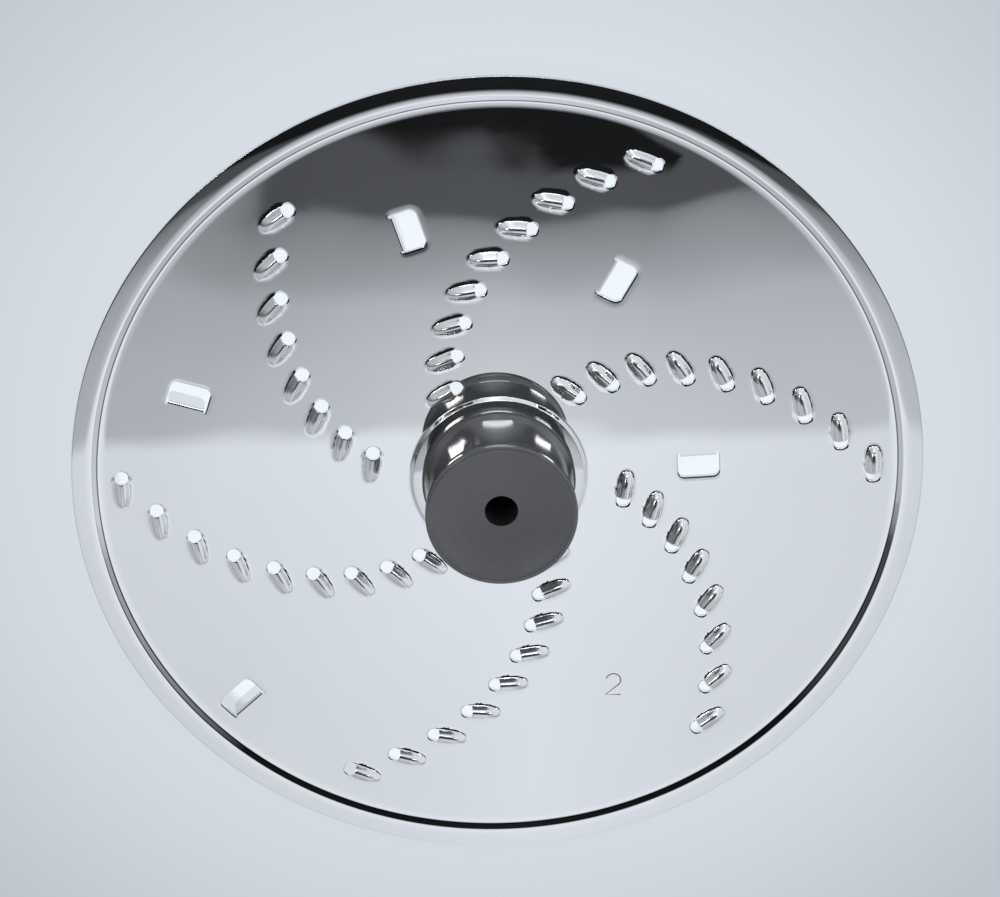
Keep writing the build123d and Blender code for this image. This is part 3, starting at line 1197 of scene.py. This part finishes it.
def set_world(stage):
    """World that is bright below the table's edge, dark above it, and pale at the sides and overhead."""
    world = bpy.data.worlds.new("studio_room")
    bpy.context.scene.world = world
    world.use_nodes = True
    tree = world.node_tree
    direction = coordinates(tree, "Generated")
    rise = add_node(tree, "VectorMath", {0: direction, 1: ROOM_UP}, "Value", operation="DOT_PRODUCT")
    wisps = noise(tree, direction, WISP_SCALE, stretch=WISP_STRETCH)
    rise = combine(tree, "ADD", rise, map_range(tree, wisps, -WISP_DEPTH, WISP_DEPTH))
    across = along_axis(tree, direction, "X")
    sideways = combine(tree, "ABSOLUTE", across)
    ramp = tree.nodes.new("ShaderNodeValToRGB")
    set_inputs(tree, ramp, {"Fac": map_range(tree, rise, 0.0, 1.0, *ROOM_RANGE)})
    elements = ramp.color_ramp.elements
    while len(elements) < len(ROOM_STOPS):
        elements.new(0.5)
    for element, (level, light) in zip(elements, ROOM_STOPS):
        element.position = (level - ROOM_RANGE[0]) / (ROOM_RANGE[1] - ROOM_RANGE[0])
        element.color = (light, light, light, 1)
    level = combine(tree, "ADD", ramp.outputs["Color"], map_range(tree, rise, *OVERHEAD))
    level = times(tree, level, map_range(tree, sideways, *FALL_ASIDE))
    shaded = times(tree, map_range(tree, rise, *TABLE_EDGE), map_range(tree, across, *LEFT_SHADE))
    level = times(tree, level, combine(tree, "SUBTRACT", 1.0, shaded))
    left = larger(tree, map_range(tree, rise, *LEFT_LOW), map_range(tree, rise, *LEFT_HIGH))
    side = mix_colours(tree, map_range(tree, across, *LEFT_TO_RIGHT), left, RIGHT_LIGHT)
    room = mix_colours(tree, map_range(tree, sideways, *MIDDLE_TO_SIDE), level, side)
    room = mix_colours(tree, 1.0, room, ROOM_TINT, blend="MULTIPLY")
    path = tree.nodes.new("ShaderNodeLightPath")
    seen = mix_colours(tree, path.outputs["Is Camera Ray"], room, stage.floor)
    set_inputs(tree, tree.nodes["Background"], {"Color": seen})


def add_lamp(name, direction, size, power):
    """A soft rectangular lamp that faces the middle of the disc."""
    lamp = bpy.data.lights.new(name, "AREA")
    lamp.shape = "RECTANGLE"
    lamp.size, lamp.size_y = size
    lamp.energy = power
    holder = bpy.data.objects.new(name, lamp)
    bpy.context.collection.objects.link(holder)
    toward = Vector(direction).normalized()
    holder.location = toward * LAMP_DISTANCE
    holder.rotation_euler = toward.to_track_quat("Z", "Y").to_euler()


def set_camera(stage, height):
    """Camera over the disc, tilted from straight above and aimed near its middle."""
    tilt = Matrix.Rotation(stage.camera_tilt, 3, "X")
    roll = Matrix.Rotation(stage.camera_roll, 3, "Z")
    right, up, back = (roll @ tilt).row
    middle = Vector((0, 0, height))
    place = middle + right * stage.aim_right + up * stage.aim_up + back * stage.camera_distance
    data = bpy.data.cameras.new("camera")
    data.sensor_width = SENSOR_WIDTH
    data.lens = stage.focal_pixels / IMAGE_WIDTH * SENSOR_WIDTH
    data.clip_end = VIEW_END
    camera = bpy.data.objects.new("camera", data)
    bpy.context.collection.objects.link(camera)
    camera.matrix_world = Matrix.Translation(place) @ Matrix((right, up, back)).transposed().to_4x4()
    bpy.context.scene.camera = camera


# Operators

def add_piece(name, mesh, material, node=None):
    """Links a piece of the disc, gives it its finish and lets it ride on the disc."""
    mesh.materials.clear()
    mesh.materials.append(material)
    piece = bpy.data.objects.new(name, mesh)
    bpy.context.collection.objects.link(piece)
    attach(piece, ROOT)
    if node:
        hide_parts(node)
    return piece


class DISC_OT_build_plate(bpy.types.Operator):
    """Build the pressed steel plate with its rim, collar, teeth and tabs"""

    bl_idname = "disc.build_plate"
    bl_label = "Build plate"

    def execute(self, context):
        scene = context.scene
        mesh = plate_mesh(scene.disc_plate, scene.disc_teeth, scene.disc_tabs)
        material = steel_material(scene.disc_finish, scene.disc_plate)
        add_piece("pressed_plate", mesh, material, PLATE_NODE)
        return {"FINISHED"}


class DISC_OT_build_hub(bpy.types.Operator):
    """Build the moulded hub with its knob, boss and keyed socket"""

    bl_idname = "disc.build_hub"
    bl_label = "Build hub"

    def execute(self, context):
        scene = context.scene
        hub = scene.disc_hub
        shell = Shell()
        shell.add(*lathe(hub_profile(hub, scene.disc_plate), hub.steps, closed=True))
        material = plastic_material(scene.disc_finish, hub)
        piece = add_piece("moulded_hub", shell.mesh("moulded_hub"), material, HUB_NODE)
        span = hub.keyway_span / 2
        half = hub.keyway_width / 2
        cut_box(piece, (-span, -half, -hub.keyway_depth), (span, half, hub.keyway_depth))
        close_mesh(piece.data)
        return {"FINISHED"}


class DISC_OT_etch_digit(bpy.types.Operator):
    """Etch the small plain digit on the plate"""

    bl_idname = "disc.etch_digit"
    bl_label = "Etch digit"

    def execute(self, context):
        scene = context.scene
        mesh = digit_mesh(scene.disc_mark, scene.disc_plate.field_height)
        add_piece("etched_digit", mesh, etch_material(scene.disc_finish))
        return {"FINISHED"}


class DISC_OT_set_stage(bpy.types.Operator):
    """Set the floor, the light and the camera"""

    bl_idname = "disc.set_stage"
    bl_label = "Set stage"

    def execute(self, context):
        scene = context.scene
        stage = scene.disc_stage
        scene.view_settings.view_transform = "Standard"
        bpy.ops.mesh.primitive_plane_add(size=FLOOR_SIZE, location=(0, 0, 0))
        floor = context.object
        floor.name = "floor"
        floor.data.materials.append(floor_material(stage))
        set_world(stage)
        for lamp in LAMPS:
            add_lamp(*lamp)
        set_camera(stage, scene.disc_plate.field_height)
        return {"FINISHED"}


class DISC_PT_panel(bpy.types.Panel):
    """Lists the steps that build the disc"""

    bl_idname = "DISC_PT_panel"
    bl_label = "Grating disc"
    bl_space_type = "VIEW_3D"
    bl_region_type = "UI"
    bl_category = "Disc"

    def draw(self, context):
        for operator in OPERATORS:
            self.layout.operator(operator.bl_idname)


GROUPS = {
    "disc_plate": DiscPlateSizes,
    "disc_teeth": DiscToothSizes,
    "disc_tabs": DiscTabSizes,
    "disc_hub": DiscHubSizes,
    "disc_mark": DiscMarkSizes,
    "disc_finish": DiscFinish,
    "disc_stage": DiscStage,
}
OPERATORS = (DISC_OT_build_plate, DISC_OT_build_hub, DISC_OT_etch_digit, DISC_OT_set_stage)


def register():
    for name, group in GROUPS.items():
        bpy.utils.register_class(group)
        setattr(bpy.types.Scene, name, PointerProperty(type=group))
    for operator in OPERATORS:
        bpy.utils.register_class(operator)
    bpy.utils.register_class(DISC_PT_panel)


def unregister():
    bpy.utils.unregister_class(DISC_PT_panel)
    for operator in reversed(OPERATORS):
        bpy.utils.unregister_class(operator)
    for name, group in GROUPS.items():
        delattr(bpy.types.Scene, name)
        bpy.utils.unregister_class(group)


def main():
    register()
    bpy.ops.disc.build_plate()
    bpy.ops.disc.build_hub()
    bpy.ops.disc.etch_digit()
    bpy.ops.disc.set_stage()


if __name__ == "__main__":
    main()
